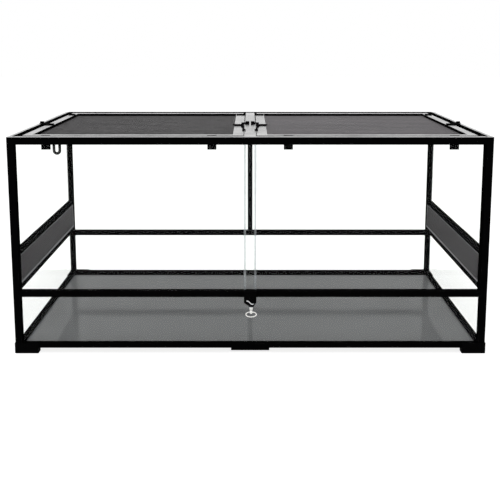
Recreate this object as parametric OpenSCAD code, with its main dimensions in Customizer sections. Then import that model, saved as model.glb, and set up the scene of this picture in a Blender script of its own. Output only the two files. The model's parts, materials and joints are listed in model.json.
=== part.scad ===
/* [Overall] */
// Width of the frame between its outer side faces
frame_w = 1216; // [900:1:1500]
// Depth of the frame between its outer front and rear faces
frame_d = 606; // [450:1:760]
// Height of the frame's top face above the ground
frame_h = 565; // [440:1:700]

/* [Frame bars] */
// Width of every post and rail, outer face to inner face
bar_w = 18; // [17:0.5:24]
// Height of the four top rails
top_rail_h = 19; // [18:0.5:26]
// Height of the four base rails
base_rail_h = 12; // [11:0.5:18]
// Ground to the underside of the base rails
base_clear = 14; // [10:0.5:25]
// Height of the front and rear middle rails
mid_rail_h = 16; // [15:0.5:24]
// Ground to the underside of the middle rails
mid_rail_z = 151; // [120:1:200]
// Width of the upright bar in the middle of the rear
mullion_w = 16; // [15:0.5:26]
// Solid middle of that bar, between its two slots
mullion_web = 6; // [3:0.5:8]
// Rounding of the long outer edges of the rails
edge_r = 1.2; // [0.5:0.1:2]
// Rounding of the frame's four upright corners
post_r = 3; // [1:0.1:4]
// Square socket down the middle of each post
post_socket = 8; // [6:0.5:9]
// Height of the flat sockets in the ends of the rails
rail_socket_h = 4; // [3:0.1:4.5]
// Wall between a socket and the bar's outer face
socket_wall = 2; // [1.2:0.1:2.5]

/* [Glass] */
// Thickness of the fixed panes
pane_t = 4; // [3:0.1:5]
// Depth that each pane enters its slots
pane_seat = 6; // [4:0.1:6.5]
// Thickness of the two sliding doors
door_t = 5; // [4:0.1:5.5]
// Width over which the closed doors overlap
door_overlap = 32; // [16:1:60]
// Play between a pane and each slot wall
pane_play = 0.25; // [0.1:0.05:0.5]
// Play between a door and each groove wall
door_play = 0.35; // [0.3:0.05:0.6]
// Gap under the doors, and between a door's end and its post
door_gap = 0.4; // [0.3:0.05:1]
// Depth that the doors enter the upper track
door_engage = 5; // [4:0.1:7]

/* [Door tracks] */
// Wall of the grooved tracks and of the rails that hold them
track_wall = 1.3; // [1:0.1:1.6]
// Height of the lower track
lower_track_h = 8; // [6:0.1:8.5]
// Height of the upper track
upper_track_h = 11; // [9:0.1:11.5]
// Floor of both tracks
track_floor = 2; // [1.2:0.1:3]

/* [Feet and floor] */
// Length of each corner foot along both sides
foot_leg = 62; // [45:1:90]
// Distance that the feet stand proud of the frame
foot_proud = 2; // [1:0.1:4]
// Height of the feet's outer skirt above the ground
foot_h = 27; // [27:0.5:32]
// Length of the tongues that enter the posts and rails
tongue_l = 25; // [15:1:40]
// Play between each tongue and its socket
tongue_play = 0.1; // [0.05:0.05:0.3]
// Width of the two middle feet
centre_foot_w = 100; // [60:1:160]
// Depth of the two middle feet
centre_foot_d = 26; // [20:1:50]
// Distance of the middle feet from the frame's outer face
centre_foot_inset = 16; // [8:1:17]
// Thickness of the floor panel
floor_t = 3; // [2:0.1:6]
// Thickness of the lips that carry the floor
floor_lip_t = 1.5; // [1:0.1:3]
// Width of the lips that carry the floor
floor_lip_w = 4; // [3:0.1:4.5]
// Play between the floor panel and the rails
floor_play = 0.4; // [0.2:0.1:1]

/* [Side vents] */
// Ground to the underside of the lower vent rail
vent_z = 167; // [140:1:200]
// Height of the vent rails
vent_rail_h = 14; // [13.5:0.1:20]
// Height of the open vent band between its rails
vent_h = 76; // [40:1:110]
// Thickness of the vent's mesh sheet
vent_sheet_t = 1; // [0.6:0.1:1.6]
// Visible width of the vent's thin border
vent_border = 3; // [1:0.5:8]

/* [Lids] */
// Thickness of the lid frames
lid_t = 10; // [9:0.1:14]
// Width of the raised part of the lids' front, rear and outer members
lid_member = 21; // [18:0.5:30]
// Width of the member beside the middle beam
lid_inner_member = 27; // [24:0.5:40]
// Width of the low flange round the front, rear and outer members
lid_flange_w = 10.5; // [8.5:0.5:14]
// Thickness of that flange
lid_flange_t = 5; // [3.5:0.1:7]
// Gap between a lid and the frame all round
lid_gap = 2.5; // [1.5:0.1:4]
// Depth from the lid's top face to its mesh
mesh_recess = 7.5; // [6.8:0.1:7.7]
// Thickness of the lid mesh
mesh_t = 1; // [0.6:0.1:1.4]
// Depth that the mesh enters the groove in the frame
mesh_seat = 4.5; // [2:0.1:8]
// Rounding of the lids' corners
lid_r = 3; // [1:0.1:6]
// Width of the flat brace under each lid's mesh
brace_w = 14; // [8:0.5:30]
// Width of the fixed beam between the two lids
beam_w = 29; // [26:0.5:44]
// Width of the lips that carry the lids
lid_lip_w = 8; // [6:0.1:8.5]
// Thickness of the lips that carry the lids
lid_lip_t = 2; // [1.5:0.1:3]
// Running gap between moving pieces and what they rest on
seat_gap = 0.3; // [0.3:0.05:0.6]

/* [Lid latches] */
// Width of the latches' finger grips and pull tabs
latch_w = 23; // [20:0.5:32]
// Depth of the latch's finger grip, front to back
grip_d = 11; // [9:0.5:14]
// Height of the latch's finger grip
grip_h = 5.5; // [4:0.1:6.5]
// Width of each of the latch's two bolts
bolt_w = 8; // [5:0.1:9]
// Thickness of the bolts
bolt_t = 3; // [2:0.1:4]
// Travel of the latches towards the front rail
latch_travel = 5; // [3:0.1:5]
// Distance of the inner latches from the middle
latch_inner_x = 97; // [70:1:160]
// Distance of the outer latches from the side faces
latch_outer_inset = 90; // [60:1:160]
// Top face of the lid down to the end of the pull tab
tab_drop = 36; // [28:0.5:50]
// Thickness of the pull tab
tab_t = 4; // [3:0.1:5]
// Play around the latch in the lid and under the lip
latch_play = 0.4; // [0.3:0.05:0.6]

/* [Lid clips] */
// Width of the hold-down clips on the lids, front to back
clip_w = 14; // [11:0.5:20]
// Thickness of the clips
clip_t = 3; // [2.4:0.1:4]
// Frame's front face to the middle clips
clip_mid_y = 285; // [200:1:400]
// Frame's rear face to the rear clips
clip_rear_inset = 88; // [60:1:140]
// Length of the inner rear clips' side blocks
block_l = 66; // [40:1:70]
// Height of the inner rear clips' side blocks
block_h = 5; // [3.5:0.5:8]
// Width of the inner rear clips' side blocks
block_w = 8; // [6:0.5:12]
// Diameter of the turning knobs' heads
knob_d = 11.5; // [8:0.5:12]
// Height of the knobs' heads
knob_h = 3.5; // [3:0.5:8]
// Diameter of the knobs' shafts
knob_shaft_d = 5; // [3:0.5:6]
// Distance of the knobs from the edge that they stand beside
knob_inset = 7; // [6.5:0.5:8]

/* [Lock] */
// Width of the lock case
lock_w = 31.5; // [28:0.5:44]
// Depth that the lock case stands out from the frame
lock_d = 20; // [20:0.5:30]
// Height of the lock case
lock_h = 36; // [32:0.5:50]
// Top of the lock case above the middle rail's top face
lock_rise = 5; // [0:0.5:8]
// Width of the slanted lower corners of the case
lock_slant_w = 9; // [2:0.5:9]
// Height of the slanted lower corners of the case
lock_slant_h = 6.5; // [2:0.5:12]
// Sideways place of the lock cylinder in its case
lock_axis_x = 2.5; // [-3:0.5:3]
// Diameter of the lock cylinder's collar
collar_d = 19; // [17:0.5:20]
// Height of the collar below the case
collar_h = 8; // [4:0.5:14]
// Diameter of the lock cylinder inside the case
cylinder_d = 16; // [14:0.5:16.5]
// Length of the lock cylinder inside the case
cylinder_l = 20; // [14:0.5:22]
// Diameter of the turning plug
plug_d = 11; // [10:0.5:12]
// Radial running play of the turning plug and the knobs
turn_play = 0.08; // [0.02:0.01:0.1]
// Thickness of the cam on the plug's inner end
cam_t = 3; // [2:0.5:4]
// Reach of the cam from the plug's axis
cam_reach = 9; // [7:0.5:9]
// Width of the key's oval bow
bow_w = 32; // [24:0.5:40]
// Height of the key's oval bow
bow_h = 18; // [14:0.5:26]
// Thickness of the key
key_t = 2.4; // [1.6:0.1:3]
// Width of the key's shoulder below the cylinder
shoulder_w = 10; // [7:0.5:12]
// Height of the key's shoulder
shoulder_h = 10; // [4:0.5:16]
// Width of the key's blade inside the plug
blade_w = 6.5; // [4:0.5:7.5]
// Length of the key's blade inside the plug
blade_l = 22; // [12:0.5:24]

/* [Cable hook] */
// Frame's side face to the hook
hook_inset = 117; // [112:1:300]
// Width across the hook's two legs
hook_w = 22; // [18:0.5:36]
// Diameter of the hook's rod
hook_rod = 5; // [3:0.5:7]
// Underside of the lid down to the bottom of the hook
hook_drop = 40; // [28:0.5:60]

/* [Hidden] */

$fn = 48;
cut = 0.5; // how far a cutter runs past the face that it opens

half_w = frame_w / 2;
// The lock stands out in front and the feet behind, so the frame sits off the box's centre
front = -frame_d / 2 + (lock_d - foot_proud) / 2;
back = front + frame_d;

base_top = base_clear + base_rail_h;
floor_z = base_clear + floor_lip_t;
mid_top = mid_rail_z + mid_rail_h;
top_z = frame_h - top_rail_h;
vent_top_z = vent_z + vent_rail_h + vent_h;
vent_top = vent_top_z + vent_rail_h;

slot_w = pane_t + 2 * pane_play;
pane_mid = bar_w / 2; // a pane's middle plane, from the frame's outer face
pane_near = pane_mid - pane_t / 2;
pane_end = bar_w - pane_seat; // a pane's edge, from the frame's outer face

channel_w = bar_w - 2 * track_wall;
groove_w = (channel_w - 3 * track_wall) / 2;
groove_pitch = groove_w + track_wall;
door_front_y = front + 2 * track_wall + (groove_w - door_t) / 2;
door_rear_y = door_front_y + groove_pitch;
door_z = mid_top - lower_track_h + track_floor + door_gap;
door_h = top_z + door_engage - door_z;
door_w = half_w - bar_w - door_gap + door_overlap / 2;

lid_z = frame_h - lid_t;
lid_lip_z = lid_z - seat_gap - lid_lip_t;
lid_x0 = beam_w / 2 + lid_gap;
lid_x1 = half_w - bar_w - lid_gap;
lid_y0 = front + bar_w + lid_gap;
lid_y1 = back - bar_w - lid_gap;
lid_edge = lid_flange_w + lid_member; // whole width of the three stepped members
mesh_z = frame_h - mesh_recess - mesh_t;

latch_xs = [latch_inner_x, half_w - latch_outer_inset];
bolt_gap = 5; // between the two bolts of one latch
bolt_x = (bolt_gap + bolt_w) / 2;
bolt_top_z = lid_lip_z - latch_play;
bolt_tip_y = front + bar_w + lid_lip_w + 0.5; // clear of the lip, so that the lid lifts
tab_y = bolt_tip_y + latch_travel + 0.5; // the tab stops short of the lip at full travel
grip_y = lid_y0 + latch_travel + 0.5; // the grip stays within the lid's edge
grip_z = frame_h - latch_play - grip_h;
neck_w = 12;

knob_xs = [beam_w / 2 - knob_inset, half_w - bar_w + knob_inset];
clip_mid = front + clip_mid_y;
clip_rear = back - clip_rear_inset;
clip_lift = 0.6; // height of a clip's arm above the beam or rail that it reaches over
clip_end = 5.5; // arm past the knob's axis
knob_z = frame_h + clip_t + seat_gap;

lock_top = mid_top + lock_rise;
lock_z = lock_top - lock_h;
lock_y = front - lock_d / 2;
cam_z = lock_z + cylinder_l + 0.5;
pocket_h = cam_t + 1.5;
bow_z = lock_z - collar_h - shoulder_h - bow_h / 2 + 1.5;
bow_bar = 4.5; // ring of the bow around its hole

hook_y = lid_y0 + lid_edge / 2;

// Places what is drawn from the outer corner inwards at one of the frame's four corners
module at_corner(side, end) {
    translate([side * half_w, end > 0 ? back : front, 0])
        mirror([side > 0 ? 1 : 0, 0, 0])
            mirror([0, end > 0 ? 1 : 0, 0])
                children();
}

// Section x becomes the distance in from the left face; pushed from y0 to y1
module left_bar(y0, y1) {
    translate([-half_w, y1, 0])
        rotate([90, 0, 0])
            linear_extrude(y1 - y0)
                children();
}

// Section x becomes the distance in from the front face; pushed from x0 to x1
module front_bar(x0, x1) {
    translate([x0, front, 0])
        rotate([90, 0, 90])
            linear_extrude(x1 - x0)
                children();
}

module on_right() {
    mirror([1, 0, 0])
        children();
}

module on_rear() {
    translate([0, front + back, 0])
        mirror([0, 1, 0])
            children();
}

module box(from, to) {
    translate(from)
        cube(to - from);
}

// What rounds a square corner at the origin by r when it is cut away
module corner_waste(r) {
    difference() {
        translate([-cut, -cut])
            square(r + cut);
        translate([r, r])
            circle(r);
    }
}

// Solid bar section with both outer edges rounded
module bar_section(h) {
    difference() {
        square([bar_w, h]);
        corner_waste(edge_r);
        translate([0, h])
            mirror([0, 1])
                corner_waste(edge_r);
    }
}

module slot_below() {
    translate([pane_mid - slot_w / 2, -cut])
        square([slot_w, pane_seat + cut]);
}

module slot_above(h) {
    translate([pane_mid - slot_w / 2, h - pane_seat])
        square([slot_w, pane_seat + cut]);
}

module rail_socket(z) {
    translate([socket_wall, z])
        square([post_socket, rail_socket_h]);
}

// ---- base ----

module base_section() {
    translate([0, base_clear])
        difference() {
            bar_section(base_rail_h);
            slot_above(base_rail_h);
            rail_socket(1);
        }
    translate([bar_w - edge_r, base_clear])
        square([floor_lip_w + edge_r, floor_lip_t]);
}

module base_rail_front() {
    color("#1b1b1c")
        front_bar(-half_w + bar_w, half_w - bar_w)
            base_section();
}

module base_rail_rear() {
    on_rear()
        base_rail_front();
}

module base_rail_left() {
    color("#1b1b1c")
        difference() {
            left_bar(front + bar_w, back - bar_w)
                base_section();
            // the front and rear rails' lips run through at the corners
            for (y = [front + bar_w - cut, back - bar_w - floor_lip_w])
                box([-half_w + bar_w, y, base_clear - cut],
                    [-half_w + bar_w + floor_lip_w + cut, y + floor_lip_w + cut, floor_z + cut]);
        }
}

module base_rail_right() {
    on_right()
        base_rail_left();
}

module floor_panel() {
    inset = bar_w + floor_play;
    color("#77787a")
        box([-half_w + inset, front + inset, floor_z],
            [half_w - inset, back - inset, floor_z + floor_t]);
}

// Two-legged corner foot: base, outer skirt, block under the post and three tongues
module foot() {
    reach = foot_leg - foot_proud;
    color("#141415")
        difference() {
            union() {
                translate([-foot_proud, -foot_proud, 0])
                    linear_extrude(base_clear)
                        difference() {
                            union() {
                                square([foot_leg, bar_w + foot_proud]);
                                square([bar_w + foot_proud, foot_leg]);
                            }
                            corner_waste(post_r + foot_proud);
                        }
                translate([-foot_proud, -foot_proud, 0])
                    linear_extrude(foot_h)
                        difference() {
                            union() {
                                square([foot_leg, foot_proud]);
                                square([foot_proud, foot_leg]);
                                square(bar_w + foot_proud);
                            }
                            corner_waste(post_r + foot_proud);
                        }
                foot_tongues();
            }
            foot_pane_room();
        }
}

module foot_tongues() {
    low = socket_wall + tongue_play;
    high = socket_wall + post_socket - tongue_play;
    z0 = base_clear + 1 + tongue_play;
    z1 = z0 + rail_socket_h - 2 * tongue_play;
    box([bar_w - 1, low, z0], [bar_w + tongue_l, high, z1]);
    box([low, bar_w - 1, z0], [high, bar_w + tongue_l, z1]);
    box([low, low, foot_h - 1], [high, high, foot_h + tongue_l]);
}

// Room for the corners of the two lower panes that end over this foot
module foot_pane_room() {
    near = pane_mid - slot_w / 2;
    z0 = base_top - pane_seat;
    box([near, pane_end - pane_play, z0], [near + slot_w, bar_w + cut, foot_h + cut]);
    box([pane_end - pane_play, near, z0], [bar_w + cut, near + slot_w, foot_h + cut]);
}

module foot_front_left() { at_corner(-1, -1) foot(); }
module foot_front_right() { at_corner(1, -1) foot(); }
module foot_rear_left() { at_corner(-1, 1) foot(); }
module foot_rear_right() { at_corner(1, 1) foot(); }

// Stepped block under the rail, its lip and the floor panel
module centre_foot() {
    lip_end = bar_w + floor_lip_w;
    front_bar(-centre_foot_w / 2, centre_foot_w / 2)
        difference() {
            union() {
                translate([centre_foot_inset, 0])
                    square([centre_foot_d, base_clear]);
                translate([lip_end, 0])
                    square([centre_foot_inset + centre_foot_d - lip_end, floor_z]);
            }
            translate([centre_foot_inset, 0])
                corner_waste(2);
        }
}

module centre_feet() {
    color("#141415") {
        centre_foot();
        on_rear()
            centre_foot();
    }
}

// ---- posts and top corners ----

// Post in the corner at the origin; has a slot towards +Y and, if asked, one towards +X
module post(rear_slot) {
    z1 = top_z;
    near = pane_mid - slot_w / 2;
    color("#1b1b1c")
        difference() {
            translate([0, 0, foot_h])
                linear_extrude(z1 - foot_h)
                    difference() {
                        square(bar_w);
                        corner_waste(post_r);
                        translate([socket_wall, socket_wall])
                            square(post_socket);
                        translate([near, bar_w - pane_seat - pane_play])
                            square([slot_w, pane_seat + pane_play + cut]);
                    }
            box([pane_end - pane_play, near, foot_h - cut],
                [bar_w + cut, near + slot_w, rear_slot ? z1 + cut : mid_rail_z + pane_seat + pane_play]);
        }
}

module post_front_left() { at_corner(-1, -1) post(false); }
module post_front_right() { at_corner(1, -1) post(false); }
module post_rear_left() { at_corner(-1, 1) post(true); }
module post_rear_right() { at_corner(1, 1) post(true); }

// Three-way block that joins two top rails to a post
module top_corner() {
    low = socket_wall + tongue_play;
    high = socket_wall + post_socket - tongue_play;
    near = pane_mid - slot_w / 2;
    z1 = frame_h - socket_wall - tongue_play;
    z0 = z1 - rail_socket_h + 2 * tongue_play;
    difference() {
        translate([0, 0, top_z])
            linear_extrude(top_rail_h)
                difference() {
                    square(bar_w);
                    corner_waste(post_r);
                }
        box([near, pane_end - pane_play, top_z - cut], [near + slot_w, bar_w + cut, top_z + pane_seat]);
        box([pane_end - pane_play, near, top_z - cut], [bar_w + cut, near + slot_w, top_z + pane_seat]);
    }
    box([bar_w - 1, low, z0], [bar_w + tongue_l, high, z1]);
    box([low, bar_w - 1, z0], [high, bar_w + tongue_l, z1]);
    box([low, low, top_z - tongue_l], [high, high, top_z + 1]);
}

module top_corners() {
    color("#1b1b1c")
        for (side = [-1, 1], end = [-1, 1])
            at_corner(side, end)
                top_corner();
}

// ---- top rails and beam ----

module lid_lip_section() {
    translate([bar_w - 1, lid_lip_z])
        square([lid_lip_w + 1, lid_lip_t]);
}

module glazed_top_section() {
    translate([0, top_z])
        difference() {
            bar_section(top_rail_h);
            slot_below();
            rail_socket(top_rail_h - socket_wall - rail_socket_h);
        }
}

// Front rail with a channel for the upper track
module top_rail_front() {
    color("#1b1b1c")
        front_bar(-half_w + bar_w, half_w - bar_w)
            translate([0, top_z])
                difference() {
                    bar_section(top_rail_h);
                    translate([track_wall, -cut])
                        square([channel_w, upper_track_h + cut]);
                    rail_socket(top_rail_h - socket_wall - rail_socket_h);
                }
}

// Strip fixed along the front rail: it carries the lids' front edges, and the latches close under it
module lid_ledge_front() {
    color("#1b1b1c")
        front_bar(-half_w + bar_w, half_w - bar_w)
            translate([bar_w, lid_lip_z])
                square([lid_lip_w, lid_lip_t]);
}

module top_rail_rear() {
    color("#1b1b1c")
        on_rear()
            front_bar(-half_w + bar_w, half_w - bar_w) {
                glazed_top_section();
                lid_lip_section();
            }
}

module top_rail_left() {
    color("#1b1b1c") {
        left_bar(front + bar_w, back - bar_w)
            glazed_top_section();
        left_bar(front + bar_w + lid_lip_w, back - bar_w - lid_lip_w)
            lid_lip_section();
    }
}

module top_rail_right() {
    on_right()
        top_rail_left();
}

// Flat beam that sits on the front and rear lips, with a lip of its own on each side
module centre_beam() {
    lip_x = beam_w / 2 + lid_lip_w;
    color("#1b1b1c") {
        box([-beam_w / 2, front + bar_w, lid_z - seat_gap], [beam_w / 2, back - bar_w, frame_h]);
        box([-lip_x, front + bar_w + lid_lip_w, lid_lip_z],
            [lip_x, back - bar_w - lid_lip_w, lid_z - seat_gap]);
    }
}

// ---- middle rails, mullion and side vents ----

module front_mid_rail() {
    color("#1b1b1c")
        front_bar(-half_w + bar_w, half_w - bar_w)
            translate([0, mid_rail_z])
                difference() {
                    bar_section(mid_rail_h);
                    slot_below();
                    translate([track_wall, mid_rail_h - lower_track_h])
                        square([channel_w, lower_track_h + cut]);
                }
}

module rear_mid_rail() {
    color("#1b1b1c")
        on_rear()
            front_bar(-half_w + bar_w, half_w - bar_w)
                translate([0, mid_rail_z])
                    difference() {
                        bar_section(mid_rail_h);
                        slot_below();
                        slot_above(mid_rail_h);
                    }
}

module rear_mullion() {
    near = front + pane_mid - slot_w / 2;
    color("#1b1b1c")
        on_rear()
            difference() {
                box([-mullion_w / 2, front, mid_top], [mullion_w / 2, front + bar_w, top_z]);
                for (side = [0, 1])
                    mirror([side, 0, 0])
                        box([mullion_web / 2, near, mid_top - cut], [mullion_w / 2 + cut, near + slot_w, top_z + cut]);
            }
}

module vent_rail(z) {
    left_bar(front + bar_w, back - bar_w)
        translate([0, z])
            difference() {
                bar_section(vent_rail_h);
                slot_below();
                slot_above(vent_rail_h);
            }
}

module vent_rails_left() {
    color("#1b1b1c") {
        vent_rail(vent_z);
        vent_rail(vent_top_z);
    }
}

module vent_rails_right() {
    on_right()
        vent_rails_left();
}

// Mesh sheet in a thin border as thick as a pane, seated in the same slots
module vent_mesh_left() {
    x0 = -half_w + pane_near;
    y0 = front + pane_end;
    y1 = back - pane_end;
    z0 = vent_z + vent_rail_h - pane_seat;
    z1 = vent_top_z + pane_seat;
    rim = pane_seat + vent_border;
    color("#3c3c3d")
        difference() {
            box([x0, y0, z0], [x0 + pane_t, y1, z1]);
            box([x0 - cut, y0 + rim, z0 + rim], [x0 + (pane_t - vent_sheet_t) / 2, y1 - rim, z1 - rim]);
            box([x0 + (pane_t + vent_sheet_t) / 2, y0 + rim, z0 + rim], [x0 + pane_t + cut, y1 - rim, z1 - rim]);
        }
}

module vent_mesh_right() {
    on_right()
        vent_mesh_left();
}

// ---- fixed glass ----

module front_pane(x0, x1, z0, z1) {
    color("#dfe9ea", 0.35)
        box([x0, front + pane_near, z0], [x1, front + pane_near + pane_t, z1]);
}

module left_pane(z0, z1) {
    color("#dfe9ea", 0.35)
        box([-half_w + pane_near, front + pane_end, z0],
            [-half_w + pane_near + pane_t, back - pane_end, z1]);
}

module glass_front_lower() {
    front_pane(-half_w + pane_end, half_w - pane_end, base_top - pane_seat + pane_play, mid_rail_z + pane_seat - pane_play);
}

module glass_rear_lower() {
    on_rear()
        glass_front_lower();
}

module glass_rear_left() {
    on_rear()
        front_pane(-half_w + pane_end, -mullion_web / 2 - pane_play,
            mid_top - pane_seat + pane_play, top_z + pane_seat - pane_play);
}

module glass_rear_right() {
    on_right()
        glass_rear_left();
}

module glass_left_upper() {
    left_pane(vent_top - pane_seat + pane_play, top_z + pane_seat - pane_play);
}

module glass_left_lower() {
    left_pane(base_top - pane_seat + pane_play, vent_z + pane_seat - pane_play);
}

module glass_right_upper() {
    on_right()
        glass_left_upper();
}

module glass_right_lower() {
    on_right()
        glass_left_lower();
}

// ---- sliding doors ----

// Two grooves side by side, open upwards
module track_section(h) {
    difference() {
        translate([track_wall, 0])
            square([channel_w, h]);
        for (i = [0, 1])
            translate([2 * track_wall + i * groove_pitch, track_floor])
                square([groove_w, h]);
    }
}

module door_track_lower() {
    color("#202021")
        front_bar(-half_w + bar_w, half_w - bar_w)
            translate([0, mid_top - lower_track_h])
                track_section(lower_track_h);
}

module door_track_upper() {
    color("#202021")
        front_bar(-half_w + bar_w, half_w - bar_w)
            translate([0, top_z + upper_track_h])
                mirror([0, 1])
                    track_section(upper_track_h);
}

module door(y) {
    color("#dfe9ea", 0.35)
        box([-door_w, y, door_z], [0, y + door_t, door_z + door_h]);
}

module door_left() {
    translate([door_overlap / 2, 0, 0])
        door(door_front_y);
}

module door_right() {
    translate([door_w - door_overlap / 2, 0, 0])
        door(door_rear_y);
}

// ---- lock and key ----

module lock_case() {
    x1 = lock_w / 2;
    color("#121213")
        difference() {
            translate([0, front, lock_z])
                rotate([90, 0, 0])
                    linear_extrude(lock_d)
                        polygon([
                            [-x1 + lock_slant_w, 0], [x1 - lock_slant_w, 0], [x1, lock_slant_h], [x1, lock_h],
                            [-x1, lock_h], [-x1, lock_slant_h]
                        ]);
            translate([lock_axis_x, lock_y, lock_z - cut])
                cylinder(h = cylinder_l + 2 * cut, d = cylinder_d + 0.2);
            translate([lock_axis_x, lock_y, lock_z + cylinder_l])
                cylinder(h = pocket_h, d = 2 * cam_reach + 0.8);
        }
}

module lock_cylinder() {
    color("#c9cacc")
        translate([lock_axis_x, lock_y, 0])
            difference() {
                union() {
                    translate([0, 0, lock_z - collar_h])
                        cylinder(h = collar_h, d = collar_d);
                    translate([0, 0, lock_z - 1])
                        cylinder(h = cylinder_l + 1, d = cylinder_d);
                }
                translate([0, 0, lock_z - collar_h - cut])
                    cylinder(h = cylinder_l + collar_h + 2 * cut, d = plug_d + 2 * turn_play);
            }
}

// Turning plug with the keyway open at its lower end
module lock_plug() {
    color("#b9babc")
        translate([lock_axis_x, lock_y, lock_z - collar_h])
            difference() {
                cylinder(h = cylinder_l + collar_h + 0.5, d = plug_d);
                translate([-blade_w / 2 - 0.1, -key_t / 2 - 0.1, -cut])
                    cube([blade_w + 0.2, key_t + 0.2, blade_l + 0.5 + cut]);
            }
}

module lock_cam() {
    color("#9a9b9d")
        translate([lock_axis_x, lock_y, cam_z])
            linear_extrude(cam_t) {
                circle(d = plug_d);
                translate([0, -2.5])
                    square([cam_reach - 1, 5]);
            }
}

// Oval bow with a hole for a ring, shoulder and blade
module key() {
    bow_r = bow_h / 2;
    bow_x = bow_w / 2 - bow_r;
    hole_r = bow_r - bow_bar;
    shoulder_z = lock_z - collar_h - shoulder_h;
    color("#c4c5c7")
        translate([lock_axis_x, lock_y + key_t / 2, 0])
            rotate([90, 0, 0])
                linear_extrude(key_t)
                    difference() {
                        union() {
                            for (side = [-1, 1])
                                translate([side * bow_x, bow_z])
                                    circle(bow_r);
                            translate([-bow_x, bow_z - bow_r])
                                square([2 * bow_x, bow_h]);
                            translate([-shoulder_w / 2, shoulder_z])
                                square([shoulder_w, shoulder_h]);
                            translate([-blade_w / 2, shoulder_z])
                                square([blade_w, shoulder_h + blade_l]);
                        }
                        for (side = [-1, 1])
                            translate([side * bow_x, bow_z])
                                circle(hole_r);
                        translate([-bow_x, bow_z - hole_r])
                            square([2 * bow_x, 2 * hole_r]);
                    }
}

// ---- lids ----

// Lid's outline with rounded corners, drawn in from its front, rear and outer edges by inset
module lid_outline(inset) {
    x1 = lid_x1 - inset;
    y0 = lid_y0 + inset;
    y1 = lid_y1 - inset;
    difference() {
        translate([lid_x0, y0])
            square([x1 - lid_x0, y1 - y0]);
        for (x = [lid_x0, x1], y = [y0, y1])
            translate([x, y])
                mirror([x == x1 ? 1 : 0, 0])
                    mirror([0, y == y1 ? 1 : 0])
                        corner_waste(lid_r);
    }
}

// Room inside the lid's four members, widened by grow
module lid_inside(z0, z1, grow) {
    box([lid_x0 + lid_inner_member - grow, lid_y0 + lid_edge - grow, z0],
        [lid_x1 - lid_edge + grow, lid_y1 - lid_edge + grow, z1]);
}

// Ring on a low flange, with a groove for the mesh, notches for the latches and a flat brace
module lid_frame_right() {
    brace_y = (lid_y0 + lid_y1 - brace_w) / 2;
    color("#232325") {
        difference() {
            union() {
                translate([0, 0, lid_z])
                    linear_extrude(lid_flange_t)
                        lid_outline(0);
                translate([0, 0, lid_z])
                    linear_extrude(lid_t)
                        lid_outline(lid_flange_w);
            }
            lid_inside(lid_z - cut, frame_h + cut, 0);
            lid_inside(mesh_z, mesh_z + mesh_t + 0.1, mesh_seat + 0.3);
            for (x = latch_xs)
                translate([x, 0, 0])
                    latch_room();
        }
        box([lid_x0 + lid_inner_member - 1, brace_y, lid_z], [lid_x1 - lid_edge + 1, brace_y + brace_w, mesh_z]);
    }
}

// Notch for the finger grip, open above and in front, with a slot below for the neck
module latch_room() {
    z0 = grip_z - latch_play;
    box([-latch_w / 2 - latch_play, lid_y0 - cut, z0],
        [latch_w / 2 + latch_play, grip_y + grip_d + latch_play, frame_h + cut]);
    box([-neck_w / 2 - latch_play, tab_y - latch_travel - latch_play, lid_z - cut],
        [neck_w / 2 + latch_play, tab_y + tab_t + latch_play, z0 + cut]);
}

module lid_frame_left() {
    on_right()
        lid_frame_right();
}

module lid_mesh_right() {
    color("#4a4a4c")
        lid_inside(mesh_z, mesh_z + mesh_t, mesh_seat);
}

module lid_mesh_left() {
    on_right()
        lid_mesh_right();
}

// Ribbed finger grip, a neck down through the lid, a pull tab below it and two bolts in front
module latch(x) {
    grip_top = grip_z + grip_h;
    color("#141415")
        translate([x, 0, 0]) {
            difference() {
                box([-latch_w / 2, grip_y, grip_z], [latch_w / 2, grip_y + grip_d, grip_top]);
                for (groove = [1:3])
                    translate([0, grip_y + groove * grip_d / 4, grip_top])
                        rotate([0, 90, 0])
                            cylinder(h = latch_w + 2 * cut, d = 1.6, center = true, $fn = 16);
            }
            box([-neck_w / 2, tab_y, lid_z - 1.5], [neck_w / 2, tab_y + tab_t, grip_z + 1]);
            box([-latch_w / 2, tab_y, frame_h - tab_drop], [latch_w / 2, tab_y + tab_t, lid_z - 0.6]);
            for (bolt = [-1, 1])
                translate([bolt * bolt_x, 0, 0])
                    box([-bolt_w / 2, bolt_tip_y, bolt_top_z - bolt_t], [bolt_w / 2, tab_y + 1, bolt_top_z]);
        }
}

module latch_left_outer() { latch(-latch_xs[1]); }
module latch_left_inner() { latch(-latch_xs[0]); }
module latch_right_inner() { latch(latch_xs[0]); }
module latch_right_outer() { latch(latch_xs[1]); }

// Hold-down clip on a lid member at x0 to x1, whose arm reaches over the frame to a knob at knob_x
module knob_clip(x0, x1, knob_x) {
    arm_x0 = min(knob_x - clip_end, x0);
    arm_x1 = max(knob_x + clip_end, x1);
    difference() {
        union() {
            box([x0, clip_mid - clip_w / 2, frame_h], [x1, clip_mid + clip_w / 2, frame_h + clip_t]);
            box([arm_x0, clip_mid - clip_w / 2 + 1, frame_h + clip_lift],
                [arm_x1, clip_mid + clip_w / 2 - 1, frame_h + clip_t]);
        }
        translate([knob_x, clip_mid, frame_h])
            cylinder(h = clip_t + cut, d = knob_shaft_d + 2 * turn_play);
    }
}

// Rear clip: a flat bar across the lid member
module rear_clip(x0, x1) {
    box([x0, clip_rear - clip_w / 2, frame_h], [x1, clip_rear + clip_w / 2, frame_h + clip_t]);
}

// Block along the seam beside the centre beam, at the inner rear clip's end
module seam_block(block_x) {
    box([block_x - block_w / 2, clip_rear - clip_w / 2, frame_h + clip_lift],
        [block_x + block_w / 2, clip_rear - clip_w / 2 + block_l, frame_h + block_h]);
}

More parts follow.
